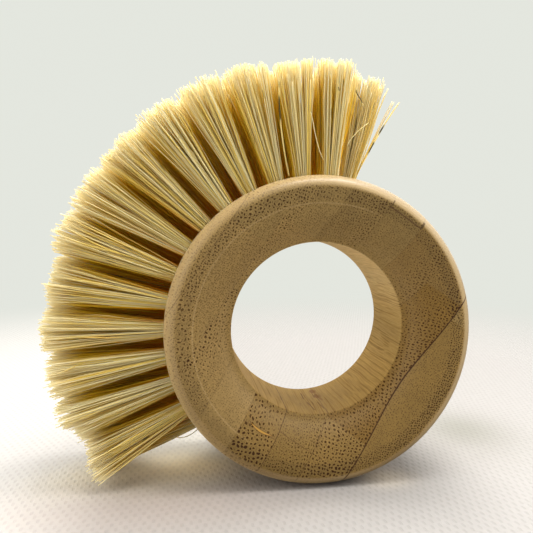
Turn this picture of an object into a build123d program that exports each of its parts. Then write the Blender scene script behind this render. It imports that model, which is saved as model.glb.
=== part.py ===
from build123d import *
import os
from math import sin, cos, radians, degrees, hypot, atan2, asin

# Ring-handled dish brush, millimetres, +Z up.
# Origin: centre of the finger hole.  The ring's axis is Y, its front face looks to -Y,
# and the bristle fan points up and to -X.  It stands on its rim at Z = -35.

os.makedirs("parts", exist_ok=True)

# ---------------------------------------------------------------- ring handle
RING_R = 35.0          # outer radius of the ring
BORE_R = 20.1          # finger hole radius
BORE_EDGE_Y = 9.9      # where the hole's wall would meet the dished face
FACE_Y = 16.25         # half thickness at the crest of the face
CREST_R = 32.3         # radius of the crest, where the face is furthest out
DISH_R = 22.5          # inside this radius the dished face is straight
RIM_FLAT_Y = 12.25     # half width of the cylindrical rim
RIM_ARC_1 = 2.0        # the round-over's tight arc, next to the crest
BORE_EASE = 0.6        # eased edge between hole and face

# The board the ring was turned from: plies of bamboo strip glued face to face.
PLY_ANGLE = -34.56     # direction of the ply normal in the XZ plane, degrees from +X
PLY_PLANES = [-40.0, -30.9, -21.9, -12.9, -3.9, 4.7, 13.4, 22.8, 31.8, 40.0]
STRIP_JOINTS = [       # edge joints inside each ply, measured along the ply
    [1.5],
    [-9.9, 9.1],
    [-22.0, -3.0, 16.0],
    [0.0],
    [-25.7, 0.0, 31.3],
    [-23.8, 0.0],
    [-15.8, 3.2, 22.2],
    [-19.5, -0.5, 18.5],
    [3.0],
]

# ---------------------------------------------------------------- bristle holes
HOLE_R = 2.1
HOLE_DEPTH = 9.0
ROW_Y = 8.0                                   # outer rows at -8 and +8, middle row at 0
OUTER_FIRST, OUTER_PITCH, OUTER_N = 85.2, 10.425, 13
MID_FIRST, MID_PITCH, MID_N = 75.1, 11.2, 14

# ---------------------------------------------------------------- tufts
ROOT_R = 2.05          # packed root in its hole
BASE_W = 4.3           # tuft just outside the rim
TIP_R = 61.2           # the bristles are trimmed to this radius
GAP = 0.3              # left between neighbours at the tips
TIP_Y_OUTER = (4.15, 12.9)   # the outer rows' tips in y
TIP_Y_MID = 3.9              # the middle row's tips in y
FLOOR_Z = -RING_R

# ---------------------------------------------------------------- staples
STAPLE_W = 4.0         # across the hole
STAPLE_H = 2.0
STAPLE_T = 0.35        # flat wire thickness
SLOT_T = 0.45          # the fold of the fibres over the staple
SLOT_W = 4.12


def radial_plane(theta, rho, y):
    """A plane square to the radius at angle theta, x along the rim, y along the ring's axis."""
    t = radians(theta)
    return Plane(origin=(rho * cos(t), y, rho * sin(t)),
                 x_dir=(-sin(t), 0, cos(t)), z_dir=(cos(t), 0, sin(t)))


def tip_angle(theta, mid):
    """The lowest tufts are pushed up by the surface that the brush stands on."""
    if mid:
        return theta - 10.1 * (max(0.0, theta - 158.0) / 62.7) ** 2
    return theta - 1.5 * (max(0.0, theta - 180.0) / 30.3) ** 2


def tip_cells(first, pitch, n, mid):
    base = [first + pitch * k for k in range(n)]
    tips = [tip_angle(b, mid) for b in base]
    mids = [(a + b) / 2 for a, b in zip(tips, tips[1:])]
    lo = [tips[0] - 4.1] + mids
    hi = mids + [tips[-1] + (4.1 if mid else 5.2)]
    return [(b, (l + h) / 2, (h - l) / 2) for b, l, h in zip(base, lo, hi)]


ROWS = {
    "front": (-ROW_Y, tip_cells(OUTER_FIRST, OUTER_PITCH, OUTER_N, False)),
    "middle": (0.0, tip_cells(MID_FIRST, MID_PITCH, MID_N, True)),
    "back": (ROW_Y, tip_cells(OUTER_FIRST, OUTER_PITCH, OUTER_N, False)),
}

# ---------------------------------------------------------------- section of the ring
# The dished face: straight from the hole to DISH_R, then an arc up to the crest.
lo_s, hi_s = 0.01, 1.3
for _ in range(60):
    s = (lo_s + hi_s) / 2
    dish_arc = (CREST_R - DISH_R) / sin(s)
    reach = -FACE_Y + dish_arc * (1 - cos(s)) + (DISH_R - BORE_R) * (sin(s) / cos(s))
    if reach < -BORE_EDGE_Y:
        lo_s = s
    else:
        hi_s = s
SLOPE = s
DISH_Y = FACE_Y - dish_arc * (1 - cos(SLOPE))
half = SLOPE / 2
DISH_MID = (CREST_R - dish_arc * sin(half), FACE_Y - dish_arc * (1 - cos(half)))
# The rim's round-over: a tight arc and a wide arc that meet at a common tangent.
a_r, b_y = RING_R - CREST_R, FACE_Y - RIM_FLAT_Y
RIM_ARC_2 = (a_r ** 2 + (b_y - RIM_ARC_1) ** 2 - RIM_ARC_1 ** 2) / (2 * (a_r - RIM_ARC_1))
c1 = (CREST_R, FACE_Y - RIM_ARC_1)
c2 = (RING_R - RIM_ARC_2, RIM_FLAT_Y)
u_len = hypot(c1[0] - c2[0], c1[1] - c2[1])
u = ((c1[0] - c2[0]) / u_len, (c1[1] - c2[1]) / u_len)
join = (c2[0] + RIM_ARC_2 * u[0], c2[1] + RIM_ARC_2 * u[1])
turn = atan2(u[0], u[1])                       # from the face's normal
arc1_mid = (c1[0] + RIM_ARC_1 * sin(turn / 2), c1[1] + RIM_ARC_1 * cos(turn / 2))
mid2 = (turn + radians(90)) / 2
arc2_mid = (c2[0] + RIM_ARC_2 * sin(mid2), c2[1] + RIM_ARC_2 * cos(mid2))
# The eased edge of the hole.
half_turn = (radians(90) - SLOPE) / 2
tl = BORE_EASE * sin(half_turn) / cos(half_turn)
ease_a = (BORE_R, BORE_EDGE_Y - tl)
ease_b = (BORE_R + tl * cos(SLOPE), BORE_EDGE_Y + tl * sin(SLOPE))
ec = (BORE_R + BORE_EASE, BORE_EDGE_Y - tl)
ea = radians(180) - half_turn
ease_mid = (ec[0] + BORE_EASE * cos(ea), ec[1] + BORE_EASE * sin(ea))


def up(p):
    return (p[0], p[1])


def dn(p):
    return (p[0], -p[1])


# The section is drawn with x as the radius and y as the ring's axis, then turned about Y.
with BuildPart() as ring_blank:
    with BuildSketch(Plane.XY):
        with BuildLine():
            Line(dn(ease_a), up(ease_a))
            ThreePointArc(up(ease_a), up(ease_mid), up(ease_b))
            Line(up(ease_b), (DISH_R, DISH_Y))
            ThreePointArc((DISH_R, DISH_Y), up(DISH_MID), (CREST_R, FACE_Y))
            ThreePointArc((CREST_R, FACE_Y), up(arc1_mid), up(join))
            ThreePointArc(up(join), up(arc2_mid), (RING_R, RIM_FLAT_Y))
            Line((RING_R, RIM_FLAT_Y), (RING_R, -RIM_FLAT_Y))
            ThreePointArc((RING_R, -RIM_FLAT_Y), dn(arc2_mid), dn(join))
            ThreePointArc(dn(join), dn(arc1_mid), (CREST_R, -FACE_Y))
            ThreePointArc((CREST_R, -FACE_Y), dn(DISH_MID), (DISH_R, -DISH_Y))
            Line((DISH_R, -DISH_Y), dn(ease_b))
            ThreePointArc(dn(ease_b), dn(ease_mid), dn(ease_a))
        make_face()
    revolve(axis=Axis.Y)
    # blind holes for the tufts, drilled square to the rim
    for y, cells in ROWS.values():
        for base, tip, hw in cells:
            with BuildSketch(radial_plane(base, RING_R - HOLE_DEPTH, y)):
                Circle(HOLE_R)
            extrude(amount=HOLE_DEPTH + 2, mode=Mode.SUBTRACT)

print("bore wall length", round(2 * ease_a[1], 3), "slope", round(degrees(SLOPE), 2))

# ---------------------------------------------------------------- the bamboo plies
pa = radians(PLY_ANGLE)
PN = (cos(pa), sin(pa))          # ply normal in (x, z)
# In this plane local x is the ply normal, local y runs along the ply, and z is -Y.
ply_frame = Plane(origin=(0, 0, 0), x_dir=(PN[0], 0, PN[1]), z_dir=(0, -1, 0))
plies = []
for i in range(len(PLY_PLANES) - 1):
    n0, n1 = PLY_PLANES[i], PLY_PLANES[i + 1]
    cuts = [-40.0] + STRIP_JOINTS[i] + [40.0]
    strips = []
    for m0, m1 in zip(cuts, cuts[1:]):
        with BuildPart() as strip:
            add(ring_blank.part)
            with BuildSketch(ply_frame):
                with Locations(((n0 + n1) / 2, (m0 + m1) / 2)):
                    Rectangle(n1 - n0, m1 - m0)
            extrude(amount=30, both=True, mode=Mode.INTERSECT)
        strips += [s for s in strip.part.solids() if s.volume > 0.5]
    ply = Compound(children=strips)
    ply.label = f"bamboo_ply_{i + 1}"
    export_step(ply, f"parts/{ply.label}.step")
    plies.append(ply)
    print(ply.label, [round(s.volume, 1) for s in strips])

# ---------------------------------------------------------------- tufts and staples
lowest = 0.0
for row, (y, cells) in ROWS.items():
    if row == "middle":
        ty, th = 0.0, TIP_Y_MID
    else:
        ty = (TIP_Y_OUTER[0] + TIP_Y_OUTER[1]) / 2 * (1 if y > 0 else -1)
        th = (TIP_Y_OUTER[1] - TIP_Y_OUTER[0]) / 2
    for k, (base, tip, hw) in enumerate(cells, 1):
        half_w = TIP_R * sin(radians(hw)) - GAP / 2
        with BuildPart() as tuft:
            # the folded root, packed into its hole
            with BuildSketch(radial_plane(base, RING_R - HOLE_DEPTH + 0.1, y)):
                Circle(ROOT_R)
            extrude(amount=HOLE_DEPTH + 0.1)
            # the slot where the fibres fold over the staple
            with BuildSketch(radial_plane(base, RING_R - HOLE_DEPTH + 0.05, y)):
                Rectangle(SLOT_T, SLOT_W)
            extrude(amount=STAPLE_H + 0.25, mode=Mode.SUBTRACT)
            # the free bristles, spreading to their share of the fan
            with BuildSketch(radial_plane(base, RING_R + 0.08, y)):
                RectangleRounded(BASE_W, BASE_W, 1.7)
            with BuildSketch(radial_plane(tip, TIP_R, ty)):
                RectangleRounded(2 * half_w, 2 * th, 1.9)
            loft()
        tuft.part.label = f"tuft_{row}_{k:02d}"
        export_step(tuft.part, f"parts/{tuft.part.label}.step")
        bb = tuft.part.bounding_box()
        lowest = min(lowest, bb.min.Z)
        if k in (1, len(cells)):
            print(tuft.part.label, round(tuft.part.volume, 1), "z min", round(bb.min.Z, 3))
    # flat wire staples, one in the bottom of each hole
    with BuildPart() as staples:
        for base, tip, hw in cells:
            with BuildSketch(radial_plane(base, RING_R - HOLE_DEPTH + 0.15, y)):
                Rectangle(STAPLE_T, STAPLE_W)
            extrude(amount=STAPLE_H)
    staples.part.label = f"staples_{row}"
    export_step(staples.part, f"parts/{staples.part.label}.step")
print("lowest bristle", round(lowest, 3))
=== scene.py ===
import bpy
import numpy as np
from math import sin, cos, radians, sqrt, pi
from mathutils import Matrix, Vector


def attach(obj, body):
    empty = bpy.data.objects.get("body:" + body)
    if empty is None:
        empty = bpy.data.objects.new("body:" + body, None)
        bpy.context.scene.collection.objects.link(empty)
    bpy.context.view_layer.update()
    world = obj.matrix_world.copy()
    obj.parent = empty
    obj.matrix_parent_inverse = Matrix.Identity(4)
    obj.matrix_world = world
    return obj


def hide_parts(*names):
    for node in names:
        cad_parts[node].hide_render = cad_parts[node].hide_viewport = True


# A ring-handled dish brush: laminated bamboo ring, plant-fibre bristles in blind holes.
# Millimetres in the tables below, metres in every Blender object.

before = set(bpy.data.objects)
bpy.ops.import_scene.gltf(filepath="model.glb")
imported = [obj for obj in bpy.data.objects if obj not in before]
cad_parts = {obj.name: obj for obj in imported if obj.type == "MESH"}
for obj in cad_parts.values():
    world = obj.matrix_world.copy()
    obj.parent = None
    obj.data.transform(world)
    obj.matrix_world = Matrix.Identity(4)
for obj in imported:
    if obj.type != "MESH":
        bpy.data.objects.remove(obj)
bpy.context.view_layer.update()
MM = 0.001
scene = bpy.context.scene
scene.view_settings.view_transform = "Standard"
scene.view_settings.look = "None"
scene.view_settings.exposure = 0.0
scene.view_settings.gamma = 1.0

# ------------------------------------------------------------------ camera
cam_data = bpy.data.cameras.new("camera")
cam = bpy.data.objects.new("camera", cam_data)
scene.collection.objects.link(cam)
cam_data.sensor_fit = "HORIZONTAL"
cam_data.sensor_width = 36.0
cam_data.lens = 36.0
cam_data.clip_start = 0.002
cam_data.clip_end = 20.0
look = Vector((0.13437, 0.98815, -0.07418)).normalized()
side = Vector((0.99088, -0.13474, 0.0)).normalized()
top = side.cross(look).normalized()
side = look.cross(top).normalized()
m = Matrix((
    (side.x, top.x, -look.x, -28.198 * MM),
    (side.y, top.y, -look.y, -128.801 * MM),
    (side.z, top.z, -look.z, 23.513 * MM),
    (0, 0, 0, 1),
))
cam.matrix_world = m
scene.camera = cam


# ------------------------------------------------------------------ node helper
class Graph:
    """A small helper that builds a material's nodes from expressions."""

    def __init__(self, name):
        self.mat = bpy.data.materials.new(name)
        self.mat.use_nodes = True
        self.nt = self.mat.node_tree
        self.nt.nodes.clear()

    def node(self, kind, **props):
        n = self.nt.nodes.new(kind)
        for k, v in props.items():
            setattr(n, k, v)
        return n

    def put(self, socket, v):
        if v is None:
            return
        if isinstance(v, bpy.types.NodeSocket):
            self.nt.links.new(v, socket)
        else:
            socket.default_value = v

    def math(self, op, a, b=None, c=None, clamp=False):
        n = self.node("ShaderNodeMath", operation=op, use_clamp=clamp)
        self.put(n.inputs[0], a)
        self.put(n.inputs[1], b)
        self.put(n.inputs[2], c)
        return n.outputs[0]

    def add(self, a, b):
        return self.math("ADD", a, b)

    def sub(self, a, b):
        return self.math("SUBTRACT", a, b)

    def mul(self, a, b):
        return self.math("MULTIPLY", a, b)

    def smooth(self, v, lo, hi, out0=0.0, out1=1.0):
        n = self.node("ShaderNodeMapRange", interpolation_type="SMOOTHSTEP", clamp=True)
        self.put(n.inputs[0], v)
        self.put(n.inputs[1], lo)
        self.put(n.inputs[2], hi)
        self.put(n.inputs[3], out0)
        self.put(n.inputs[4], out1)
        return n.outputs[0]

    def line(self, v, lo, hi, out0=0.0, out1=1.0):
        n = self.node("ShaderNodeMapRange", interpolation_type="LINEAR", clamp=True)
        self.put(n.inputs[0], v)
        self.put(n.inputs[1], lo)
        self.put(n.inputs[2], hi)
        self.put(n.inputs[3], out0)
        self.put(n.inputs[4], out1)
        return n.outputs[0]

    def mixf(self, f, a, b):
        n = self.node("ShaderNodeMix", data_type="FLOAT")
        self.put(n.inputs[0], f)
        self.put(n.inputs[2], a)
        self.put(n.inputs[3], b)
        return n.outputs[0]

    def mixc(self, f, a, b, blend="MIX"):
        n = self.node("ShaderNodeMix", data_type="RGBA", blend_type=blend)
        self.put(n.inputs[0], f)
        self.put(n.inputs[6], a if isinstance(a, bpy.types.NodeSocket) else (*a, 1.0))
        self.put(n.inputs[7], b if isinstance(b, bpy.types.NodeSocket) else (*b, 1.0))
        return n.outputs[2]

    def scale_c(self, colour, f):
        """colour times the number f."""
        n = self.node("ShaderNodeVectorMath", operation="SCALE")
        self.put(n.inputs[0], colour)
        self.put(n.inputs[3], f)
        return n.outputs[0]

    def xyz(self, x, y, z):
        n = self.node("ShaderNodeCombineXYZ")
        self.put(n.inputs[0], x)
        self.put(n.inputs[1], y)
        self.put(n.inputs[2], z)
        return n.outputs[0]

    def split(self, v):
        n = self.node("ShaderNodeSeparateXYZ")
        self.put(n.inputs[0], v)
        return n.outputs[0], n.outputs[1], n.outputs[2]

    def rgb(self, v):
        n = self.node("ShaderNodeSeparateColor")
        self.put(n.inputs[0], v)
        return n.outputs[0], n.outputs[1], n.outputs[2]

    def noise(self, v, scale=1.0, detail=2.0, rough=0.5, dims="3D"):
        n = self.node("ShaderNodeTexNoise", noise_dimensions=dims)
        self.put(n.inputs["Vector"], v)
        self.put(n.inputs["Scale"], scale)
        self.put(n.inputs["Detail"], detail)
        self.put(n.inputs["Roughness"], rough)
        return n.outputs[0]

    def voronoi(self, v, randomness=1.0, dims="2D", feature="F1"):
        n = self.node("ShaderNodeTexVoronoi", voronoi_dimensions=dims, feature=feature)
        self.put(n.inputs["Vector"], v)
        self.put(n.inputs["Scale"], 1.0)
        self.put(n.inputs["Randomness"], randomness)
        return n.outputs["Distance"], n.outputs["Color"]

    def steps(self, v, cuts, values):
        """Piecewise constant: values[k] between cuts[k - 1] and cuts[k]; v and cuts run from 0 to 1."""
        n = self.node("ShaderNodeValToRGB")
        r = n.color_ramp
        r.interpolation = "CONSTANT"
        r.elements[0].position = 0.0
        r.elements[0].color = (*values[0], 1.0)
        r.elements.remove(r.elements[1])
        for c, val in zip(cuts, values[1:]):
            e = r.elements.new(c)
            e.color = (*val, 1.0)
        self.put(n.inputs[0], v)
        return n.outputs[0]

    def bump(self, height, distance, strength=1.0, normal=None):
        n = self.node("ShaderNodeBump")
        n.inputs["Strength"].default_value = strength
        n.inputs["Distance"].default_value = distance
        self.put(n.inputs["Height"], height)
        self.put(n.inputs["Normal"], normal)
        return n.outputs[0]

    def out(self, shader):
        o = self.node("ShaderNodeOutputMaterial")
        self.nt.links.new(shader, o.inputs[0])
        return self.mat


# ------------------------------------------------------------------ bamboo
PN = (0.82353, -0.56728)         # across the plies, in (x, z)
PM = (0.56728, 0.82353)          # along the plies
PLANES = [-40.0, -30.9, -21.9, -12.9, -3.9, 4.7, 13.4, 22.8, 31.8, 40.0]
JOINTS = [
    [1.5], [-9.9, 9.1], [-22.0, -3.0, 16.0], [0.0], [-25.7, 0.0, 31.3],
    [-23.8, 0.0], [-15.8, 3.2, 22.2], [-19.5, -0.5, 18.5], [3.0],
]
# The darker ply colours used on the right (AMBER, BROWN, DARK) are partly the plies' own tone and partly painted
# shade.
TAN = (0.282, 0.178, 0.056)
LIGHT = (0.305, 0.194, 0.063)
OLIVE = (0.266, 0.171, 0.054)
MID = (0.222, 0.141, 0.043)
HONEY = (0.236, 0.142, 0.036)
AMBER = (0.188, 0.104, 0.019)
BROWN = (0.204, 0.122, 0.033)
DARK = (0.222, 0.134, 0.033)
PORE = (0.050, 0.016, 0.002)

# Each strip: the bundles' pitch, their radius at the ply's low and high side, how strongly they show
# there, how dark they are, how the change runs across the strip, the fine speckle, and its colour.
STRIPS = [
    # ply 1
    [(0.80, .16, .16, 1.0, 1.0, .72, 1.0, .34, TAN), (0.74, .14, .14, .80, .85, .56, 1.0, .34, LIGHT)],
    # ply 2
    [(1.02, .205, .18, 1.0, .95, .74, 1.0, .36, TAN), (0.74, .165, .145, 1.0, .90, .78, 0.9, .42, TAN),
     (0.84, .18, .155, 1.0, .95, .88, 1.0, .36, OLIVE)],
    # ply 3
    [(0.80, .18, .12, .95, .50, .70, 0.6, .38, TAN), (0.86, .215, .12, 1.0, .36, 1.0, 0.9, .38, TAN),
     (0.76, .18, .10, 1.0, .42, .88, 0.5, .42, TAN), (0.72, .165, .12, 1.0, .30, .82, 0.8, .42, OLIVE)],
    # ply 4
    [(0.60, .09, .09, .14, .10, .30, 1.0, .26, LIGHT), (0.64, .135, .16, .75, 1.0, .84, 2.6, .42, MID)],
    # ply 5
    [(0.94, .245, .225, 1.0, 1.0, 1.0, 1.0, .16, HONEY), (1.00, .25, .19, 1.0, .56, 1.0, 1.1, .18, HONEY),
     (0.62, .12, .10, .75, .55, .60, 1.0, .42, MID), (0.60, .13, .13, .90, .90, .66, 1.0, .42, MID)],
    # ply 6
    [(0.74, .13, .17, .70, 1.0, .86, 1.3, .36, DARK), (0.68, .11, .155, .55, 1.0, .80, 1.6, .40, DARK),
     (0.66, .11, .17, .68, 1.0, .86, 2.2, .42, BROWN)],
    # ply 7
    [(0.82, .18, .21, 1.0, 1.0, 1.0, 1.0, .30, HONEY), (0.74, .14, .20, .74, 1.0, 1.0, 1.1, .36, AMBER),
     (0.70, .13, .19, .76, 1.0, 1.0, 1.2, .36, AMBER), (0.64, .12, .17, .85, 1.0, .88, 1.0, .40, BROWN)],
    # ply 8
    [(0.54, .10, .12, .24, .60, .80, 2.0, .42, HONEY), (0.54, .10, .12, .20, .60, .96, 2.2, .44, HONEY),
     (0.56, .10, .13, .30, .70, .96, 2.0, .44, HONEY), (0.60, .12, .15, .65, 1.0, .80, 1.3, .42, OLIVE)],
    # ply 9
    [(0.62, .13, .12, .75, .75, .62, 1.0, .40, TAN), (0.62, .13, .12, .75, .75, .62, 1.0, .40, TAN)],
]
# The adhesive at each ply plane: how dark, half width, how broken up, and how much is left near the top.
GLUE = [(0, .1, 0, 1), (.45, .10, .5, .8), (.30, .08, .9, .7), (.34, .08, .8, .6), (.28, .08, .9, .7), (.66, .11, .8, .25),
        (.46, .09, .7, .45), (1.0, .13, .10, 1), (.25, .08, .9, 1), (0, .1, 0, 1)]
JOINT_GLUE = {(4, 0): (.50, .10), (4, 2): (.80, .14), (5, 0): (.5, .08), (2, 1): (.35, .08), (7, 1): (.2, .07)}


def bamboo(i):
    g = Graph(f"bamboo_{i + 1}")
    n0, n1 = PLANES[i], PLANES[i + 1]
    co = g.node("ShaderNodeTexCoord")
    mm = g.scale_c(co.outputs["Object"], 1000.0)
    x, y, z = g.split(mm)
    nx, ny, nz = g.split(co.outputs["Normal"])
    rho = g.math("SQRT", g.add(g.mul(x, x), g.mul(z, z)))
    n_true = g.add(g.mul(x, PN[0]), g.mul(z, PN[1]))
    m_true = g.add(g.mul(x, PM[0]), g.mul(z, PM[1]))
    # the fibres wander a little along their length
    drift = g.node("ShaderNodeTexNoise", noise_dimensions="3D")
    g.put(drift.inputs["Vector"], g.xyz(g.mul(n_true, 0.10), g.mul(y, 0.045), g.mul(m_true, 0.10)))
    g.put(drift.inputs["Scale"], 1.0)
    g.put(drift.inputs["Detail"], 1.0)
    dr, dg, db = g.rgb(drift.outputs["Color"])
    n = g.add(n_true, g.mul(g.sub(dr, 0.5), 2.4))
    m = g.add(m_true, g.mul(g.sub(dg, 0.5), 2.4))

    cuts = [(j + 40.0) / 80.0 for j in JOINTS[i]]
    where = g.math("DIVIDE", g.add(m_true, 40.0), 80.0)
    s = STRIPS[i]
    pitch, r0, r1 = g.rgb(g.steps(where, cuts, [(q[0] / 2, q[1], q[2]) for q in s]))
    d0, d1, dark = g.rgb(g.steps(where, cuts, [(q[3], q[4], q[5]) for q in s]))
    power, fine, seed = g.rgb(g.steps(where, cuts, [(q[6] / 4, q[7], (k * 0.37 + i * 0.13) % 1) for k, q in enumerate(s)]))
    base = g.steps(where, cuts, [q[8] for q in s])
    pitch = g.mul(pitch, 2.0)
    power = g.mul(power, 4.0)

    # across the strip, with an uneven edge
    wander = g.noise(g.xyz(g.mul(m, 0.22), g.mul(n, 0.22), 0.0), 1.0, 2.0)
    t = g.line(g.add(n_true, g.mul(g.sub(wander, 0.5), 3.0)), n0, n1)
    t = g.math("POWER", t, power)
    band = g.smooth(g.math("ABSOLUTE", g.sub(rho, 30.9)), 0.9, 2.0, 1.0, 0.0)
    density = g.add(g.mixf(t, d0, d1), g.mul(band, 0.85 if i == 7 else 0.30))
    radius = g.mul(g.mixf(t, r0, r1), g.add(1.0, g.mul(band, 0.22)))

    # vascular bundles: an uneven lattice
    kink = g.node("ShaderNodeTexNoise", noise_dimensions="2D")
    g.put(kink.inputs["Vector"], g.xyz(n, m, 0.0))
    g.put(kink.inputs["Scale"], 0.62)
    g.put(kink.inputs["Detail"], 1.0)
    kr, kg, kb = g.rgb(kink.outputs["Color"])
    nn = g.add(n, g.mul(g.sub(kr, 0.5), 0.8))
    mk = g.add(m, g.mul(g.sub(kg, 0.5), 0.8))
    here = g.xyz(g.add(g.math("DIVIDE", g.add(g.mul(nn, 0.93), g.mul(mk, 0.36)), pitch), g.mul(seed, 91.0)),
                 g.add(g.math("DIVIDE", g.sub(g.mul(mk, 0.93), g.mul(nn, 0.36)), pitch), g.mul(seed, 57.0)), 0.0)
    dist, cell = g.voronoi(here, 0.40)
    c1, c2, c3 = g.rgb(cell)
    ragged = g.noise(g.xyz(n, m, 0.0), 4.5, 1.0)
    dmm = g.add(g.mul(dist, pitch), g.mul(g.sub(ragged, 0.5), 0.05))
    size = g.mul(radius, g.add(0.86, g.mul(c2, 0.26)))
    shown = g.math("SUBTRACT", g.mul(density, 1.30), g.mul(c1, 0.55), clamp=True)
    dot = g.mul(g.smooth(g.sub(size, dmm), -0.06, 0.06), shown)
    # they are planed over on the round-over, and faint inside the turned ring of the second ply
    over = g.smooth(rho, 32.15, 32.95)
    dark = g.mul(dark, g.mixf(over, 1.0, 0.74))
    if i == 1:
        dark = g.mul(dark, g.smooth(rho, 28.2, 29.4, 0.55, 1.0))
    rim_light = g.mul(g.smooth(g.math("ABSOLUTE", g.sub(dmm, g.add(size, 0.13))), 0.02, 0.13, 1.0, 0.0), shown)
    # the fine ground tissue between them
    here2 = g.xyz(g.math("DIVIDE", n, 0.46), g.add(g.math("DIVIDE", m, 0.46), 11.0), 0.0)
    dist2, cell2 = g.voronoi(here2, 0.70)
    f1, f2, f3 = g.rgb(cell2)
    speck = g.mul(g.smooth(g.add(dist2, g.mul(g.sub(ragged, 0.5), 0.3)), 0.14, 0.38, 1.0, 0.0), g.line(f1, 0.10, 0.60))
    grit = g.noise(g.xyz(n, m, g.mul(y, 0.2)), 2.3, 3.0, 0.75)
    patch = g.noise(g.xyz(g.mul(n, 0.30), g.mul(m, 0.14), g.mul(y, 0.05)), 1.0, 3.0)

    # end grain
    end = g.scale_c(base, g.add(1.0, g.mul(g.sub(patch, 0.5), 0.34)))
    end = g.scale_c(end, g.add(1.04, g.mul(g.sub(grit, 0.5), 0.80)))
    end = g.mixc(g.mul(speck, g.add(0.48, fine)), end, (0.105, 0.055, 0.014))
    end = g.scale_c(end, g.add(1.0, g.mul(g.mul(rim_light, dark), 0.24)))
    end = g.mixc(g.mul(dot, dark), end, PORE)
    # Painted shade, in part: the band inside the crest is darker, besides its denser pores.
    end = g.scale_c(end, g.sub(1.0, g.mul(band, 0.14)))
    # Partly paler side grain and partly a painted highlight: the round-over is mixed toward a pale colour, most on the
    # right and top and at the bottom.
    pale = g.math("MAXIMUM", g.smooth(g.add(x, g.mul(z, 0.5)), -14.0, 28.0, 0.10, 0.92), g.smooth(z, -34.0, -28.0, 0.80, 0.30))
    end = g.mixc(g.mul(over, pale), end, (0.445, 0.318, 0.158))
    # Painted shade: the face is darker towards the bottom.
    end = g.scale_c(end, g.smooth(z, -22.0, 4.0, 0.835, 0.955))
    # the faint ring that the turning tool left
    ring_at = g.add(rho, g.mul(g.sub(g.noise(g.xyz(g.mul(x, .05), g.mul(z, .05), 0.0), 1.0, 1.0), 0.5), 0.5))
    ring = g.smooth(g.math("ABSOLUTE", g.sub(ring_at, 28.75)), 0.03, 0.26, 1.0, 0.0)
    ring = g.mul(ring, g.smooth(g.sub(z, g.mul(x, 1.7)), 0.0, 16.0, 0.0, 1.0))
    ring = g.mul(ring, g.smooth(grit, 0.25, 0.60, 0.35, 1.0))
    end = g.mixc(g.mul(ring, 0.40), end, (0.44, 0.31, 0.14))

    # side grain: long fine streaks along the fibres
    st1 = g.noise(g.xyz(g.mul(n, 3.4), g.mul(y, 0.12), g.mul(m, 3.4)), 1.0, 3.0, 0.6)
    st2 = g.noise(g.xyz(g.mul(n, 0.9), g.mul(y, 0.05), g.mul(m, 0.9)), 1.0, 2.0, 0.5)
    bore = g.smooth(rho, 20.6, 22.0, 1.0, 0.0)
    sidec = g.mixc(g.smooth(st1, 0.25, 0.75), (0.360, 0.245, 0.105), (0.490, 0.355, 0.175))
    wall = g.mixc(g.smooth(st1, 0.30, 0.72), (0.225, 0.140, 0.036), (0.300, 0.198, 0.060))
    # Painted light and shade: the wall of the hole is darker and warmer at the bottom, darker at the sides, and
    # lighter and paler at the top.
    wall = g.scale_c(wall, g.sub(g.line(z, -20.0, 15.0, 0.64, 2.16), g.smooth(g.math("ABSOLUTE", g.add(z, 2.0)), 0.0, 9.0, 0.22, 0.0)))
    wall = g.mixc(g.smooth(z, -19.0, 2.0), g.mixc(1.0, wall, (1.14, 1.04, 0.68), "MULTIPLY"), wall)
    wall = g.mixc(g.smooth(z, 0.0, 12.0), wall, g.mixc(1.0, wall, (1.03, 1.13, 1.62), "MULTIPLY"))
    sidec = g.mixc(bore, sidec, wall)
    sidec = g.scale_c(sidec, g.add(0.88, g.mul(st2, 0.24)))
    # Painted light: the side grain is lighter at the bottom of the ring.
    sidec = g.scale_c(sidec, g.smooth(z, -35.0, -25.0, 1.45, 1.0))
    sidec = g.scale_c(sidec, g.add(1.0, g.mul(g.sub(grit, 0.5), 0.30)))
    oblique = g.smooth(g.math("ABSOLUTE", ny), 0.03, 0.30, 0.45, 0.85)
    sidec = g.mixc(g.mul(g.mul(dot, dark), oblique), sidec, (0.10, 0.048, 0.012))

    facing = g.smooth(g.math("ABSOLUTE", ny), 0.06, 0.90)
    colour = g.mixc(facing, sidec, end)
    # painted light and shade: on the round-over of the right half the colour is lighter near the crest and darker at
    # the rim
    half_w = g.mul(g.smooth(x, -6.0, 9.0), g.smooth(g.math("ABSOLUTE", y), 11.3, 12.5))
    colour = g.scale_c(colour, g.mixf(half_w, 1.0, g.add(g.smooth(rho, 33.1, 34.0, 1.0, 0.70), g.smooth(g.math("ABSOLUTE", g.sub(rho, 32.5)), 0.1, 0.7, 0.20, 0.0))))

    # adhesive lines
    breakup = g.noise(g.xyz(g.mul(m_true, 0.55), g.mul(y, 0.25), float(i)), 1.0, 3.0, 0.65)
    high = g.smooth(m_true, -12.0, 4.0)
    for plane, (amount, half, broken, left) in ((n0, GLUE[i]), (n1, GLUE[i + 1])):
        if amount:
            d = g.math("ABSOLUTE", g.sub(g.add(n_true, g.mul(g.sub(ragged, 0.5), 0.14)), plane))
            a = g.mul(g.line(g.sub(half, d), -0.05, 0.05), g.mixf(high, amount, amount * left))
            if broken:
                a = g.mul(a, g.smooth(breakup, 0.5 - 0.35 * broken, 0.62, 1.0 - 0.8 * broken, 1.0))
            colour = g.mixc(a, colour, (0.038, 0.010, 0.002))
    for k, j in enumerate(JOINTS[i]):
        amount, half = JOINT_GLUE.get((i, k), (.14, .06))
        d = g.math("ABSOLUTE", g.sub(g.add(m_true, g.mul(g.sub(wander, 0.5), 0.5)), j))
        a = g.mul(g.line(g.sub(half, d), -0.05, 0.05), amount)
        colour = g.mixc(a, colour, (0.070, 0.028, 0.008))
    if i == 4:
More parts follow.
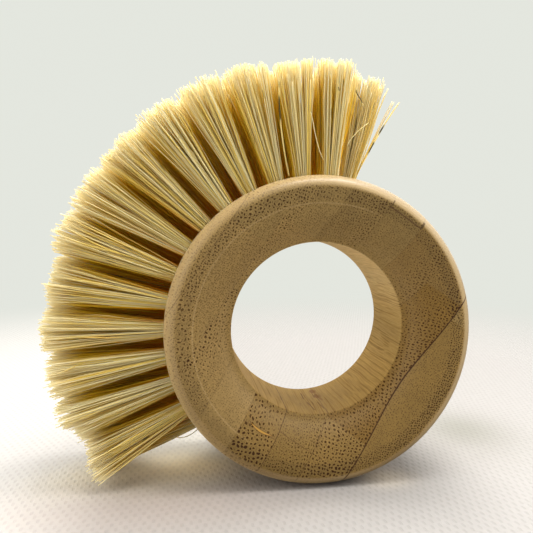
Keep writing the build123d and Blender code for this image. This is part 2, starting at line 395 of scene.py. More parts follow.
        # a sliver of dried adhesive in the lower edge joint
        along_n = g.sub(n_true, 0.7)
        bow = g.sub(g.add(m_true, 25.75), g.mul(g.mul(along_n, along_n), 0.055))
        lens = g.sub(0.21, g.mul(g.mul(along_n, along_n), 0.026))
        edge = g.line(g.sub(g.add(lens, 0.12), g.math("ABSOLUTE", bow)), -0.04, 0.05)
        body = g.line(g.sub(lens, g.math("ABSOLUTE", bow)), -0.04, 0.04)
        colour = g.mixc(g.mul(g.mul(edge, facing), 0.75), colour, (0.085, 0.036, 0.008))
        colour = g.mixc(g.mul(body, facing), colour, (0.430, 0.235, 0.040))
    if i in (5, 6):
        # scratches and a resin stain at the bottom of the hole
        low = g.mul(bore, g.smooth(z, -17.0, -15.0, 1.0, 0.0))
        for x0, slope, ya, yb, half, amount in ((-1.10, 0.05, 0.6, 6.4, 0.13, 0.75), (-0.75, -0.10, -7.6, -1.0, 0.16, 0.70),
                                                (1.70, -0.09, -7.2, -1.4, 0.12, 0.65), (0.60, 0.02, -3.6, -0.6, 0.10, 0.45),
                                                (-2.60, 0.06, -5.0, -1.8, 0.12, 0.35), (1.75, 0.05, 1.0, 6.2, 0.11, 0.55),
                                                (-0.55, 0.05, 1.6, 4.8, 0.08, 0.45)):
            d = g.math("ABSOLUTE", g.sub(g.add(x, g.mul(g.sub(grit, 0.5), 0.30)), g.add(x0, g.mul(y, slope))))
            a = g.mul(g.line(g.sub(half, d), -0.10, 0.08), g.mul(g.smooth(y, ya, ya + 0.8), g.smooth(y, yb - 0.8, yb, 1.0, 0.0)))
            colour = g.mixc(g.mul(g.mul(a, amount), low), colour, (0.070, 0.026, 0.004))
        for x0, y0, rx, ry, amount in ((2.45, 6.6, 0.95, 1.7, 0.95), (2.55, 2.6, 0.70, 1.9, 0.95), (3.20, 1.0, 0.45, 2.6, 0.55)):
            ex = g.math("DIVIDE", g.sub(g.add(x, g.mul(g.sub(grit, 0.5), 1.3)), x0), rx)
            ey = g.math("DIVIDE", g.sub(y, y0), ry)
            d = g.add(g.mul(ex, ex), g.mul(ey, ey))
            a = g.smooth(d, 0.35, 1.1, 1.0, 0.0)
            colour = g.mixc(g.mul(g.mul(a, amount), low), colour, (0.120, 0.050, 0.005))
    if i in (4, 5):
        # nicks on the rim at the ends of the upper edge joint
        for plane in (PLANES[4], PLANES[5]):
            d = g.math("ABSOLUTE", g.sub(n_true, plane))
            a = g.mul(g.line(g.sub(0.30, d), -0.08, 0.10), g.smooth(m_true, 30.4, 31.4))
            a = g.mul(a, g.mul(g.smooth(rho, 31.2, 32.0), g.smooth(rho, 32.9, 33.5, 1.0, 0.0)))
            colour = g.mixc(g.mul(a, 0.75), colour, (0.055, 0.026, 0.008))

    # surface
    lathe = g.noise(g.xyz(g.mul(rho, 2.2), g.mul(y, 2.2), 0.0), 1.0, 2.0)
    height = g.add(g.mul(grit, 0.35), g.mul(dot, -0.35))
    height = g.add(height, g.mul(lathe, 0.25))
    height = g.add(height, g.mul(st1, g.mul(g.sub(1.0, facing), 0.5)))
    bump = g.bump(height, 0.00006, 0.9)
    rough = g.mixf(g.mul(over, g.smooth(z, 6.0, 24.0)), 0.58, 0.36)
    rough = g.add(g.mixf(facing, g.mixf(bore, 0.32, 0.85), rough), g.mul(dot, 0.30))
    rough = g.add(rough, g.mul(g.sub(patch, 0.5), 0.12))
    p = g.node("ShaderNodeBsdfPrincipled")
    g.put(p.inputs["Base Color"], colour)
    g.put(p.inputs["Roughness"], rough)
    p.inputs["Specular IOR Level"].default_value = 0.24
    g.put(p.inputs["Normal"], bump)
    return g.out(p.outputs[0])


for i in range(9):
    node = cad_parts[f"bamboo_ply_{i + 1}"]
    mat = bamboo(i)
    if not node.material_slots:
        node.data.materials.append(mat)
    for s in node.material_slots:
        s.material = mat


# ------------------------------------------------------------------ staples
def steel():
    g = Graph("staple_steel")
    co = g.node("ShaderNodeTexCoord")
    mm = g.scale_c(co.outputs["Object"], 1000.0)
    drawn = g.noise(mm, 9.0, 3.0, 0.6)
    p = g.node("ShaderNodeBsdfPrincipled")
    g.put(p.inputs["Base Color"], g.mixc(drawn, (0.50, 0.50, 0.51), (0.66, 0.66, 0.67)))
    p.inputs["Metallic"].default_value = 1.0
    g.put(p.inputs["Roughness"], g.line(drawn, 0.3, 0.7, 0.28, 0.42))
    return g.out(p.outputs[0])


metal = steel()
for name in ("staples_front", "staples_middle", "staples_back"):
    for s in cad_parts[name].material_slots:
        s.material = metal


# ------------------------------------------------------------------ bristles
def bristle():
    g = Graph("plant_fibre")

    def read(name):
        a = g.node("ShaderNodeAttribute")
        a.attribute_name = name
        return a.outputs["Fac"]

    tone, hue, along, spot, out = read("tone"), read("hue"), read("along"), read("spot"), read("open")
    mark = read("mark")
    co = g.node("ShaderNodeTexCoord")
    mm = g.scale_c(co.outputs["Object"], 1000.0)
    blot = g.noise(g.xyz(g.mul(tone, 40.0), g.mul(along, 5.0), g.mul(hue, 17.0)), 1.0, 3.0, 0.6)
    fleck = g.noise(mm, 4.0, 2.0)
    # Painted light and shade: cream is the colour of the lit fibres and amber of the fibres in the shade inside the
    # tufts; the amber is redder and darker towards the root, the cream a little darker there too, and both are paler
    # on high-tone fibres.
    cream = g.mixc(g.smooth(hue, 0.30, 0.85), (0.996, 0.925, 0.560), (0.976, 0.795, 0.230))
    amber = g.mixc(hue, (0.965, 0.620, 0.022), (0.930, 0.500, 0.010))
    amber = g.mixc(g.smooth(along, 0.0, 0.42), g.mixc(g.smooth(tone, 0.45, 0.95), (0.905, 0.340, 0.004), (0.950, 0.570, 0.008)), amber)
    amber = g.mixc(g.smooth(along, 0.40, 0.95), amber, (0.988, 0.730, 0.035))
    amber = g.mixc(g.smooth(tone, 0.62, 1.0), amber, (0.986, 0.760, 0.055))
    cream = g.mixc(g.smooth(tone, 0.0, 0.50, 0.75, 0.0), cream, (0.940, 0.690, 0.150))
    cream = g.scale_c(cream, g.smooth(along, 0.0, 0.55, 0.95, 1.0))
    c = g.mixc(out, amber, cream)
    c = g.mixc(g.smooth(hue, 0.965, 0.99), c, (0.50, 0.30, 0.07))
    c = g.scale_c(c, g.line(tone, 0.0, 1.0, 0.83, 1.0))
    c = g.scale_c(c, g.add(0.95, g.mul(blot, 0.08)))
    # cut ends are paler; the extra paling on the lit fibres is painted light
    c = g.mixc(g.mul(g.smooth(along, 0.74, 1.0, 0.0, 0.72), g.add(0.45, g.mul(out, 0.55))), c, (0.998, 0.950, 0.700))
    near = g.smooth(g.math("ABSOLUTE", g.sub(along, spot)), 0.015, 0.055, 1.0, 0.0)
    c = g.mixc(g.mul(near, 0.80), c, (0.22, 0.15, 0.035))
    c = g.mixc(g.mul(mark, 0.92), c, (0.060, 0.042, 0.008))
    p = g.node("ShaderNodeBsdfPrincipled")
    g.put(p.inputs["Base Color"], c)
    g.put(p.inputs["Roughness"], g.line(fleck, 0.3, 0.7, 0.42, 0.58))
    p.inputs["Specular IOR Level"].default_value = 0.06
    # light that comes through a fibre is much more amber than what it reflects
    tr = g.node("ShaderNodeBsdfTranslucent")
    g.put(tr.inputs["Color"], g.mixc(1.0, c, (1.0, 0.89, 0.45), "MULTIPLY"))
    mix = g.node("ShaderNodeMixShader")
    mix.inputs[0].default_value = 0.30
    g.nt.links.new(p.outputs[0], mix.inputs[1])
    g.nt.links.new(tr.outputs[0], mix.inputs[2])
    return g.out(mix.outputs[0])


HOLE_BOTTOM, RING_R, TIP_R = 26.0, 35.0, 61.2
ROW_Y = 8.0
OUTER = (85.2, 10.425, 13)
MIDDLE = (75.1, 11.2, 14)
FLOOR_Z = -35.0


def tip_angle(theta, mid):
    if mid:
        return theta - 10.1 * (max(0.0, theta - 158.0) / 62.7) ** 2
    return theta - 1.5 * (max(0.0, theta - 180.0) / 30.3) ** 2


def cells(first, pitch, n, mid):
    base = [first + pitch * k for k in range(n)]
    tips = [tip_angle(b, mid) for b in base]
    mids = [(a + b) / 2 for a, b in zip(tips, tips[1:])]
    lo = [tips[0] - 4.1] + mids
    hi = mids + [tips[-1] + (4.1 if mid else 5.2)]
    return [(b, (l + h) / 2, (h - l) / 2) for b, l, h in zip(base, lo, hi)]


SIDES = 5
FIBRES = 220


def ease(v, lo, hi):
    q = np.clip((v - lo) / (hi - lo), 0, 1)
    return q * q * (3 - 2 * q)


fibre_mat = bristle()


def tuft(name, row_y, tip_y, tip_half_y, base_a, tip_a, half_a, seed, loose=False):
    rng = np.random.default_rng(seed)
    N = FIBRES
    tb, tt = radians(base_a), radians(tip_a)
    Y = np.array([0.0, 1.0, 0.0])
    rb, sb = np.array([cos(tb), 0, sin(tb)]), np.array([-sin(tb), 0, cos(tb)])
    rt, st = np.array([cos(tt), 0, sin(tt)]), np.array([-sin(tt), 0, cos(tt)])

    # places in the hole, evenly packed
    k = np.arange(N) + 0.5
    r = np.sqrt(k / N)
    a = k * 2.399963 + rng.uniform(0, 6.28)
    u = r * np.cos(a) + rng.normal(0, 0.035, N)
    v = r * np.sin(a) + rng.normal(0, 0.035, N)
    far = np.maximum(1.0, np.hypot(u, v))
    u, v = u / far, v / far
    root = np.stack([u, v], 1) * 1.92

    # places at the tips: the disc opened to the cell, with the fibres gathered in small clumps
    ang = np.arctan2(v, u)
    open_up = 1.0 / np.maximum(np.abs(np.cos(ang)), np.abs(np.sin(ang))) ** 0.72
    tip = np.stack([u * open_up, v * open_up], 1)
    tip += rng.normal(0, 0.07, (N, 2))
    K = 11
    ck = np.arange(K) + 0.5
    cr, ca = np.sqrt(ck / K), ck * 2.399963 + rng.uniform(0, 6.28)
    centre = np.stack([cr * np.cos(ca), cr * np.sin(ca)], 1) + rng.normal(0, 0.08, (K, 2))
    which = np.argmin(((tip[:, None] - centre[None]) ** 2).sum(2), 1)
    pull = rng.uniform(0.05, 0.45, N)[:, None]
    tip = tip * (1 - pull) + centre[which] * pull
    tip += (rng.normal(0, 0.045, (K, 2)))[which]
    half_w = TIP_R * sin(radians(half_a)) * (0.96 if row_y == 0 else 0.89)
    tip_w, tip_v = tip[:, 0] * half_w, tip[:, 1] * tip_half_y * 1.03
    if base_a > 209 and row_y != 0:
        # the lowest one splays until it meets the surface
        tip_w = np.where(tip_w > 0, tip_w * 1.20, tip_w)

    # lengths: trimmed round, then ruffled
    cut = TIP_R - 0.30 + rng.normal(0, 0.20) + rng.normal(0, 0.26, K)[which] + rng.normal(0, 0.36, N)
    short = rng.random(N) < 0.06
    cut = np.where(short, cut - rng.uniform(0.8, 4.5, N), cut)
    cut = np.minimum(cut, TIP_R + 1.3)
    # the trimmed outline is rounder at the fan's faces, and lower at its two ends
    place = tip_a + np.degrees(tip_w / TIP_R)
    edge = (np.abs(tip_y + tip_v) / 12.9) ** 2
    cut -= edge * (0.30 + 1.5 * ease(-place, -106, -92) + 0.55 * ease(place, 158, 176))
    if row_y != 0:
        cut -= 3.0 * ease(place, 199, 202) * (1 - ease(place, 205, 212)) + 0.9 * ease(place, 205, 212) + 1.2 * ease(place, 213, 217)
    if loose:
        # the last tuft at the top is loose on its open side
        away = (rng.random(N) < 0.22) * rng.uniform(0.2, 1, N) * np.clip((-0.25 - tip[:, 0]) / 0.5, 0, 1)
        tip_w = np.where(tip_w < 0, tip_w * 0.62, tip_w) - away * (4.5 if row_y == 0 else 3.0)
        cut = cut - away * 2.2

    mouth = RING_R - 0.35
    P0 = rb * mouth + Y * row_y + root[:, :1] * sb + root[:, 1:] * Y
    P1 = rt * (np.sqrt(np.maximum(cut ** 2 - tip_w ** 2, 1.0)))[:, None] + st * tip_w[:, None] + Y * (tip_y + tip_v)[:, None]
    d = P1 - P0
    L = np.linalg.norm(d, axis=1, keepdims=True)
    e = d / L
    bow = rng.uniform(-0.30, 0.15, N)[:, None]
    T0 = L * (e + bow * (e - rb))
    T1 = L * (e - bow * 0.8 * (e - rb))
    S = np.array([0.0, 0.05, 0.13, 0.24, 0.36, 0.48, 0.60, 0.71, 0.81, 0.90, 0.96, 1.0])
    h00, h10 = 2 * S ** 3 - 3 * S ** 2 + 1, S ** 3 - 2 * S ** 2 + S
    h01, h11 = -2 * S ** 3 + 3 * S ** 2, S ** 3 - S ** 2
    path = (h00[None, :, None] * P0[:, None] + h10[None, :, None] * T0[:, None]
            + h01[None, :, None] * P1[:, None] + h11[None, :, None] * T1[:, None])
    # waves, and a few strays that cross their neighbours
    stray = rng.random(N) < 0.045
    amp = np.where(stray, rng.uniform(0.5, 1.5, N), rng.uniform(0.05, 0.28, N))
    freq = rng.uniform(0.6, 1.9, N)
    for axis in (st, Y):
        ph = rng.uniform(0, 2 * pi, N)
        w = np.sin(2 * pi * freq[:, None] * S[None] + ph[:, None]) - np.sin(ph)[:, None]
        path += (amp[:, None] * w * (S[None] ** 1.2) * 0.7)[:, :, None] * axis
    # the part in the hole, folded over the staple
    bx = np.where(np.abs(root[:, 0]) < 0.42, np.sign(root[:, 0] + 1e-9) * 0.42, root[:, 0])
    B0 = rb * (HOLE_BOTTOM + 0.35) + Y * row_y + (bx * 0.93)[:, None] * sb + (root[:, 1:] * 0.93) * Y
    B1 = rb * (HOLE_BOTTOM + 4.2) + Y * row_y + (bx * 0.98)[:, None] * sb + root[:, 1:] * Y
    path = np.concatenate([B0[:, None], B1[:, None], path], 1)
    along = np.concatenate([[-0.33, -0.18], S])
    M = path.shape[1]
    fat = rng.uniform(0.092, 0.150, N)
    path[:, :, 2] = np.maximum(path[:, :, 2], FLOOR_Z + fat[:, None] + 0.02)

    # tubes
    tan = np.gradient(path, axis=1)
    tan /= np.linalg.norm(tan, axis=2, keepdims=True)
    e1 = np.cross(tan, Y)
    e1 /= np.linalg.norm(e1, axis=2, keepdims=True)
    e2 = np.cross(tan, e1)
    flat = rng.uniform(0.68, 1.0, N)
    spin = rng.uniform(0, pi, N)
    lump = 1 + 0.10 * np.sin(rng.uniform(0, 6.28, N)[:, None] + rng.uniform(4, 15, N)[:, None] * along[None])
    thin = np.interp(along, [-0.33, 0.0, 0.75, 1.0], [0.92, 1.0, 0.96, 0.80])
    rad = fat[:, None] * lump * thin[None]
    q = np.arange(SIDES) * 2 * pi / SIDES
    cq, sq = np.cos(q), np.sin(q)
    ex, ey = cq[None] * 1.0, sq[None] * flat[:, None]
    rx = ex * np.cos(spin)[:, None] - ey * np.sin(spin)[:, None]
    ry = ex * np.sin(spin)[:, None] + ey * np.cos(spin)[:, None]
    verts = (path[:, :, None] + rad[:, :, None, None] * (rx[:, None, :, None] * e1[:, :, None] + ry[:, None, :, None] * e2[:, :, None]))
    end = path[:, -1] + tan[:, -1] * (fat * 0.45)[:, None]
    start = path[:, 0]
    per = M * SIDES + 2
    allv = np.concatenate([verts.reshape(N, M * SIDES, 3), end[:, None], start[:, None]], 1).reshape(-1, 3) * MM

    cols = int(np.ceil(np.sqrt(N * 3.0)))
    rows_n = int(np.ceil(N / cols))
    vv = (along - along[0]) / (along[-1] - along[0])
    c = np.arange(SIDES)
    c2 = (c + 1) % SIDES
    j = np.arange(M - 1)[:, None]
    quads = np.stack([j * SIDES + c, j * SIDES + c2, (j + 1) * SIDES + c2, (j + 1) * SIDES + c], -1).reshape(-1, 4)
    tips3 = np.stack([(M - 1) * SIDES + c, (M - 1) * SIDES + c2, np.full(SIDES, M * SIDES)], -1)
    ends3 = np.stack([c2, c, np.full(SIDES, M * SIDES + 1)], -1)
    fan = np.concatenate([tips3, ends3])
    # one fibre's own map: a strip of its own, the side across and the length up
    ua, ub = c / SIDES, (c + 1) / SIDES
    ya, yb = 0.01 + 0.97 * vv[:-1, None], 0.01 + 0.97 * vv[1:, None]
    one = np.ones((M - 1, SIDES))
    quad_uv = np.stack([np.stack([ua * one, ya * one], -1), np.stack([ub * one, ya * one], -1),
                        np.stack([ub * one, yb * one], -1), np.stack([ua * one, yb * one], -1)], 2).reshape(-1, 2)
    um = (ua + ub) / 2
    tip_uv = np.stack([np.stack([ua, ua * 0 + 0.98], -1), np.stack([ub, ua * 0 + 0.98], -1), np.stack([um, ua * 0 + 0.992], -1)], 1).reshape(-1, 2)
    end_uv = np.stack([np.stack([ub, ua * 0 + 0.01], -1), np.stack([ua, ua * 0 + 0.01], -1), np.stack([um, ua * 0 + 0.002], -1)], 1).reshape(-1, 2)
    unit = np.concatenate([quad_uv, tip_uv, end_uv])
    f = np.arange(N)
    corner = np.stack([(f % cols) / cols, (f // cols) / rows_n], -1)
    uvs = corner[:, None] + unit[None] * np.array([0.86 / cols, 0.96 / rows_n])
    loops = np.concatenate([quads.ravel(), fan.ravel()])[None] + (f * per)[:, None]
    counts = np.concatenate([np.full(len(quads), 4), np.full(len(fan), 3)])
    counts = np.tile(counts, N)
    starts = np.concatenate([[0], np.cumsum(counts)[:-1]])
    me = bpy.data.meshes.new(name)
    me.vertices.add(len(allv))
    me.vertices.foreach_set("co", allv.astype(np.float32).ravel())
    me.loops.add(loops.size)
    me.loops.foreach_set("vertex_index", loops.astype(np.int32).ravel())
    me.polygons.add(len(counts))
    me.polygons.foreach_set("loop_start", starts.astype(np.int32))
    me.update(calc_edges=True)
    layer = me.uv_layers.new(name="OFBake")
    layer.data.foreach_set("uv", uvs.astype(np.float32).ravel())
    me.polygons.foreach_set("use_smooth", np.ones(len(counts), bool))

    def attribute(label, values):
        at = me.attributes.new(label, "FLOAT", "POINT")
        at.data.foreach_set("value", values.astype(np.float32).ravel())

    # Painted light: the tufts at the top end of the fan get a higher, paler tone.
    top_end = 0.38 * (1 - ease(tip_a, 90.0, 116.0))
    attribute("tone", np.repeat(np.clip(rng.normal(0.5, 0.24, N) + top_end, 0, 1), per))
    attribute("hue", np.repeat(rng.random(N), per))
    ring_along = np.concatenate([np.repeat(along, SIDES), [1.0, along[0]]])
    attribute("along", np.tile(ring_along, N))
    spots = np.where(rng.random(N) < 0.018, rng.uniform(0.35, 0.85, N), 5.0)
    attribute("spot", np.repeat(spots, per))
    # how open to the light, as painted light and shade: the outer faces of the fan, its two end tufts and the tips get
    # the pale lit colour, the inside gets the amber of shade
    yy = np.abs(path[:, :, 1])
    turn = np.degrees(np.arctan2(path[:, :, 2], path[:, :, 0])) % 360
    if row_y == 0:
        face = np.zeros(N)
    else:
        face = ease(tip[:, 1] * np.sign(row_y) + rng.normal(0, 0.16, N), 0.02, 0.70)
    painted_lit = np.maximum(face[:, None] + 0 * yy, ease(along[None] + 0 * yy, 0.66, 1.06))
    painted_lit = np.maximum(painted_lit, np.maximum(ease(-turn, -82.0, -76.5), ease(turn, 214.0, 219.0)))
    painted_lit = np.clip(painted_lit + rng.normal(0, 0.10, N)[:, None], 0, 1)
    ends = np.stack([painted_lit[:, -1], painted_lit[:, 0]], 1)
    attribute("open", np.concatenate([np.repeat(painted_lit, SIDES, axis=1), ends], 1))
    me.update()
    me.validate()
    o = bpy.data.objects.new(name, me)
    scene.collection.objects.link(o)
    me.materials.append(fibre_mat)
    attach(o, "root")
    return o


rows = [
    ("front", -ROW_Y, -8.525, 4.375, cells(*OUTER, False)),
    ("middle", 0.0, 0.0, 3.9, cells(*MIDDLE, True)),
    ("back", ROW_Y, 8.525, 4.375, cells(*OUTER, False)),
]
for r_no, (row, ry, ty, th, cs) in enumerate(rows):
    for k, (b, t, hw) in enumerate(cs, 1):
        piece = tuft(f"bristles_{row}_{k:02d}", ry, ty, th, b, t, hw, 1000 * (r_no + 1) + k, k == 1)
        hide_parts(f"tuft_{row}_{k:02d}")


def strands(name, items, node):
    """Single fibres with a place of their own: points in mm, radius, hue, tone, and the dark marks along them."""
    verts, faces, uvs = [], [], []
    att = {k: [] for k in ("tone", "hue", "along", "spot", "open", "mark")}
    M, K = 44, 6
    for no, (points, radius, hue, tone, marks) in enumerate(items):
        pts = np.array(points, float)
        step = np.concatenate([[0], np.cumsum(np.linalg.norm(np.diff(pts, axis=0), axis=1))])
        s = step / step[-1]
        q = np.linspace(0, 1, M)
        path = np.stack([np.polyval(np.polyfit(s, pts[:, c], min(3, len(pts) - 1)), q) for c in range(3)], 1)
        tan = np.gradient(path, axis=0)
        tan /= np.linalg.norm(tan, axis=1, keepdims=True)
        e1 = np.cross(tan, [0.0, 1.0, 0.0])
        e1 /= np.linalg.norm(e1, axis=1, keepdims=True)
        e2 = np.cross(tan, e1)
        turn = np.arange(K) * 2 * pi / K
        rad = radius * (1 + 0.10 * np.sin(q * 23 + no)) * np.interp(q, [0, 0.8, 1.0], [1.0, 0.95, 0.7])
        ring = path[:, None] + rad[:, None, None] * (np.cos(turn)[None, :, None] * e1[:, None] + 0.8 * np.sin(turn)[None, :, None] * e2[:, None])
        b0 = len(verts)
        verts += [tuple(v * MM) for v in ring.reshape(-1, 3)]
        verts += [tuple(path[0] * MM), tuple((path[-1] + tan[-1] * radius * 0.5) * MM)]
        dark = np.zeros(M)
        for lo, hi, amount in marks:
            dark = np.maximum(dark, amount * ease(q, lo - 0.02, lo + 0.015) * (1 - ease(q, hi - 0.015, hi + 0.02)))
        for key, val in (("tone", tone), ("hue", hue), ("spot", 5.0), ("open", 1.0)):
            att[key] += [val] * (M * K + 2)
        att["along"] += list(np.repeat(q * 0.8, K)) + [0.0, 0.8]
        att["mark"] += list(np.repeat(dark, K)) + [float(dark[0]), float(dark[-1])]
        u0, du = no / len(items), 0.9 / len(items)
        for j in range(M - 1):
            for c in range(K):
                d = (c + 1) % K
                faces.append((b0 + j * K + c, b0 + j * K + d, b0 + (j + 1) * K + d, b0 + (j + 1) * K + c))
                ua, ub = u0 + du * c / K, u0 + du * (c + 1) / K
                va, vb = 0.02 + 0.95 * j / (M - 1), 0.02 + 0.95 * (j + 1) / (M - 1)
                uvs += [(ua, va), (ub, va), (ub, vb), (ua, vb)]
        for c in range(K):
            d = (c + 1) % K
            ua, ub = u0 + du * c / K, u0 + du * (c + 1) / K
            faces.append((b0 + d, b0 + c, b0 + M * K))
            uvs += [(ub, 0.02), (ua, 0.02), ((ua + ub) / 2, 0.005)]
            faces.append((b0 + (M - 1) * K + c, b0 + (M - 1) * K + d, b0 + M * K + 1))
            uvs += [(ua, 0.97), (ub, 0.97), ((ua + ub) / 2, 0.99)]
    me = bpy.data.meshes.new(name)
    me.from_pydata(verts, [], faces)
    layer = me.uv_layers.new(name="OFBake")
    layer.data.foreach_set("uv", np.array(uvs, np.float32).ravel())
    me.polygons.foreach_set("use_smooth", np.ones(len(faces), bool))
    for key, val in att.items():
        at = me.attributes.new(key, "FLOAT", "POINT")
        at.data.foreach_set("value", np.array(val, np.float32))
    me.update()
    o = bpy.data.objects.new(name, me)
    scene.collection.objects.link(o)
    me.materials.append(fibre_mat)
    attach(o, "root")
    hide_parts(node)
    return o


strands("strays_top", [
    # a pale yellow fibre with dark marks, outermost at the top end
    ([(9.6, 0.0, 33.4), (11.6, 0.0, 36.0), (15.2, 0.2, 42.9), (18.4, 0.2, 48.0), (20.4, 0.1, 51.1), (22.4, 0.0, 54.1)],
     0.20, 0.40, 1.0, [(0.10, 0.14, 0.7), (0.20, 0.25, 1.0), (0.40, 0.52, 1.0), (0.63, 0.72, 0.95)]),
    ([(9.2, -2.0, 34.0), (11.4, -2.2, 41.0), (14.2, -2.6, 50.0), (17.4, -2.6, 57.4)], 0.12, 0.30, 0.9, []),
    ([(8.8, 1.0, 34.0), (12.2, 1.2, 44.0), (15.8, 1.6, 52.6), (18.8, 1.8, 58.4)], 0.11, 0.35, 0.8, []),
], "tuft_middle_01")
strands("strays_front_01", [
    ([(8.1, -11.0, 54.6), (8.3, -11.3, 52.9), (9.0, -11.6, 51.7), (9.4, -11.6, 50.4)], 0.12, 0.5, 0.4, [(0.15, 0.85, 1.0)]),
    ([(6.0, -11.4, 41.6), (7.4, -12.2, 43.9), (9.2, -12.5, 45.6), (10.6, -12.2, 46.6)], 0.08, 0.35, 0.9, []),
    ([(3.3, -13.2, 54.2), (3.6, -13.3, 52.8)], 0.14, 0.5, 0.3, [(0.2, 0.8, 0.8)]),
], "tuft_front_01")
strands("strays_front_02", [
    ([(-6.9, -9.8, 34.9), (-8.8, -12.2, 42.6), (-9.5, -13.2, 47.1), (-9.8, -13.6, 51.1), (-9.8, -13.6, 54.9), (-9.6, -13.5, 58.0)],
     0.15, 0.62, 0.5, [(0.52, 0.72, 1.0), (0.80, 0.84, 0.5)]),
    ([(-2.6, -12.4, 48.6), (-2.3, -13.1, 46.6), (-1.4, -12.4, 43.1), (-0.4, -12.0, 40.2), (0.6, -11.4, 38.4)], 0.08, 0.3, 0.9, []),
], "tuft_front_02")
strands("strays_low", [
    ([(-26.0, -1.0, -23.4), (-28.2, -2.2, -25.6), (-30.0, -2.6, -26.6), (-31.8, -2.8, -26.9), (-33.6, -2.6, -26.4)], 0.10, 0.35, 0.9, []),
], "tuft_middle_14")


# ------------------------------------------------------------------ floor and light
WALL = (0.775, 0.795, 0.735)


def floor_mat():
    g = Graph("floor")
    co = g.node("ShaderNodeTexCoord")
    mm = g.scale_c(co.outputs["Object"], 1000.0)
    x, y, z = g.split(mm)
    # a woven cloth: rows of small dimples
    w1 = g.math("SINE", g.mul(g.add(x, g.mul(y, 0.10)), 2 * pi / 1.8))
    w2 = g.math("SINE", g.mul(g.sub(y, g.mul(x, 0.28)), 2 * pi / 3.8))
    weave = g.smooth(g.mul(w1, w2), 0.05, 0.75)
    cloth = g.noise(mm, 0.9, 3.0)
    p = g.node("ShaderNodeBsdfPrincipled")
    # Painted light and shade: the cloth is lighter towards the front and darker behind.
    near = g.smooth(y, -120.0, 80.0, 1.12, 0.87)
    base = g.scale_c(g.mixc(cloth, (0.258, 0.247, 0.235), (0.288, 0.276, 0.264)), near)
    base = g.scale_c(base, g.sub(1.02, g.mul(weave, 0.075)))

    def blob(cx, cy, rx, ry):
        ex, ey = g.math("DIVIDE", g.sub(x, cx), rx), g.math("DIVIDE", g.sub(y, cy), ry)
        return g.math("EXPONENT", g.mul(g.add(g.mul(ex, ex), g.mul(ey, ey)), -1.0))

    # painted light and shade: the cloth is lighter and warmer in the shadows under and around the brush and at the far
    # left, and darker to the right behind the ring
    for at, tint in (((-36.0, -1.0, 16.0, 9.0), (2.85, 2.66, 2.05)), ((-36.0, -19.0, 30.0, 11.0), (1.20, 1.10, 1.05)),
                     ((15.0, -13.0, 6.5, 4.5), (1.62, 1.52, 1.34)), ((-58.0, -6.0, 9.0, 7.0), (1.30, 1.28, 1.22)),
                     ((48.0, 13.0, 13.0, 14.0), (0.74, 0.75, 0.70)),
                     ((-28.0, 17.0, 9.0, 9.0), (1.40, 1.40, 1.34)), ((-26.0, -1.0, 9.0, 7.0), (1.30, 1.26, 1.14))):
        base = g.mixc(1.0, base, g.mixc(blob(*at), (1.0, 1.0, 1.0), tint), "MULTIPLY")
    base = g.scale_c(base, g.smooth(x, -66.0, -42.0, 1.40, 1.0))
    g.put(p.inputs["Base Color"], base)
    p.inputs["Roughness"].default_value = 0.9
    p.inputs["Specular IOR Level"].default_value = 0.1
    g.put(p.inputs["Normal"], g.bump(g.sub(cloth, g.mul(weave, 1.1)), 0.00010, 0.6))
    away = g.math("SQRT", g.add(g.mul(x, x), g.mul(y, y)))
    glow = g.node("ShaderNodeEmission")
    glow.inputs[0].default_value = (*WALL, 1.0)
    mix = g.node("ShaderNodeMixShader")
    g.put(mix.inputs[0], g.smooth(away, 120.0, 330.0))
    g.nt.links.new(p.outputs[0], mix.inputs[1])
    g.nt.links.new(glow.outputs[0], mix.inputs[2])
    return g.out(mix.outputs[0])


fl = bpy.data.meshes.new("floor")
ring_n, R = 96, 2.5
fv = [(0, 0, FLOOR_Z * MM)] + [(R * cos(2 * pi * k / ring_n), R * sin(2 * pi * k / ring_n), FLOOR_Z * MM) for k in range(ring_n)]
fl.from_pydata(fv, [], [(0, 1 + k, 1 + (k + 1) % ring_n) for k in range(ring_n)])
floor = bpy.data.objects.new("floor", fl)
scene.collection.objects.link(floor)
fl.materials.append(floor_mat())

world = bpy.data.worlds.new("soft_room")
scene.world = world
world.use_nodes = True
wn = world.node_tree
wn.nodes.clear()
wt = wn.nodes.new("ShaderNodeTexCoord")
ws = wn.nodes.new("ShaderNodeSeparateXYZ")
wn.links.new(wt.outputs["Generated"], ws.inputs[0])


def wmath(op, p, q=None):
    n = wn.nodes.new("ShaderNodeMath")
    n.operation = op
    for k, v in enumerate((p, q)):
        if v is None:
            continue
        if isinstance(v, bpy.types.NodeSocket):
            wn.links.new(v, n.inputs[k])
        else:
            n.inputs[k].default_value = v
    return n.outputs[0]


def wsmooth(v, lo, hi, o0, o1):
    n = wn.nodes.new("ShaderNodeMapRange")
    n.interpolation_type = "SMOOTHSTEP"
    wn.links.new(v, n.inputs[0])
    for k, q in enumerate((lo, hi, o0, o1), 1):
        n.inputs[k].default_value = q
    return n.outputs[0]


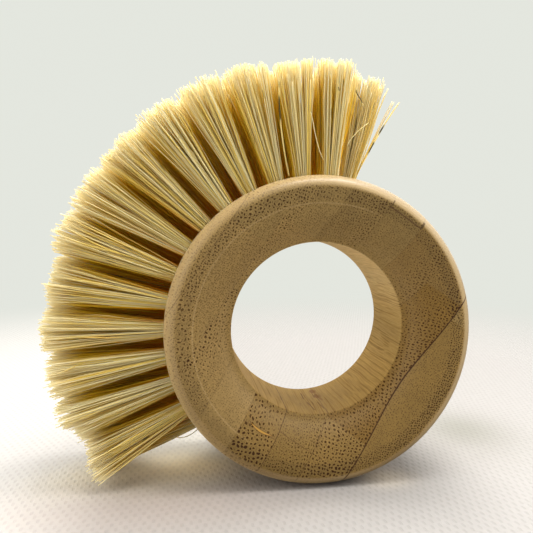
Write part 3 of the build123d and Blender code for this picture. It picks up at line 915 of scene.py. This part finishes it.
# bright behind and above, dim in front, darkest where whoever looks at the brush stands
behind = wsmooth(ws.outputs[1], -0.7, 0.6, 0.66, 1.20)
above = wsmooth(ws.outputs[2], 0.1, 1.0, 1.0, 1.7)
front = wmath("ADD", wmath("MULTIPLY", ws.outputs[0], -0.16), wmath("MULTIPLY", ws.outputs[1], -0.98))
front = wmath("ADD", front, wmath("MULTIPLY", ws.outputs[2], 0.12))
dim = wsmooth(front, 0.45, 0.90, 1.0, 0.20)
level = wmath("MULTIPLY", wmath("MULTIPLY", behind, above), dim)
col = wn.nodes.new("ShaderNodeCombineColor")
for q, tint in enumerate((1.0, 0.995, 0.975)):
    wn.links.new(wmath("MULTIPLY", level, tint), col.inputs[q])
bg = wn.nodes.new("ShaderNodeBackground")
wn.links.new(col.outputs[0], bg.inputs[0])
bg.inputs[1].default_value = 1.35
seen = wn.nodes.new("ShaderNodeBackground")
seen.inputs[0].default_value = (*WALL, 1.0)
seen.inputs[1].default_value = 1.0
lp = wn.nodes.new("ShaderNodeLightPath")
wm = wn.nodes.new("ShaderNodeMixShader")
wn.links.new(lp.outputs["Is Camera Ray"], wm.inputs[0])
wn.links.new(bg.outputs[0], wm.inputs[1])
wn.links.new(seen.outputs[0], wm.inputs[2])
wo = wn.nodes.new("ShaderNodeOutputWorld")
wn.links.new(wm.outputs[0], wo.inputs[0])


def softbox(name, at, target, size, power, colour=(1, 1, 1)):
    ld = bpy.data.lights.new(name, "AREA")
    ld.shape = "SQUARE"
    ld.size = size
    ld.energy = power
    ld.color = colour
    o = bpy.data.objects.new(name, ld)
    scene.collection.objects.link(o)
    o.location = at
    o.rotation_mode = "QUATERNION"
    o.rotation_quaternion = (Vector(target) - Vector(at)).to_track_quat("-Z", "Y")
    return o


softbox("overhead", (0.11, 0.01, 0.46), (0, 0, 0.02), 0.28, 3.6, (1.0, 0.985, 0.955))
softbox("window", (0.04, 0.34, 0.46), (0, 0, 0.03), 0.26, 1.8, (1.0, 0.985, 0.955))
softbox("left", (-0.46, -0.14, 0.09), (0, 0, 0.01), 0.32, 0.98, (1.0, 0.985, 0.955))
softbox("right", (0.40, -0.08, 0.28), (0, 0, 0.01), 0.24, 0.8, (1.0, 0.985, 0.965))
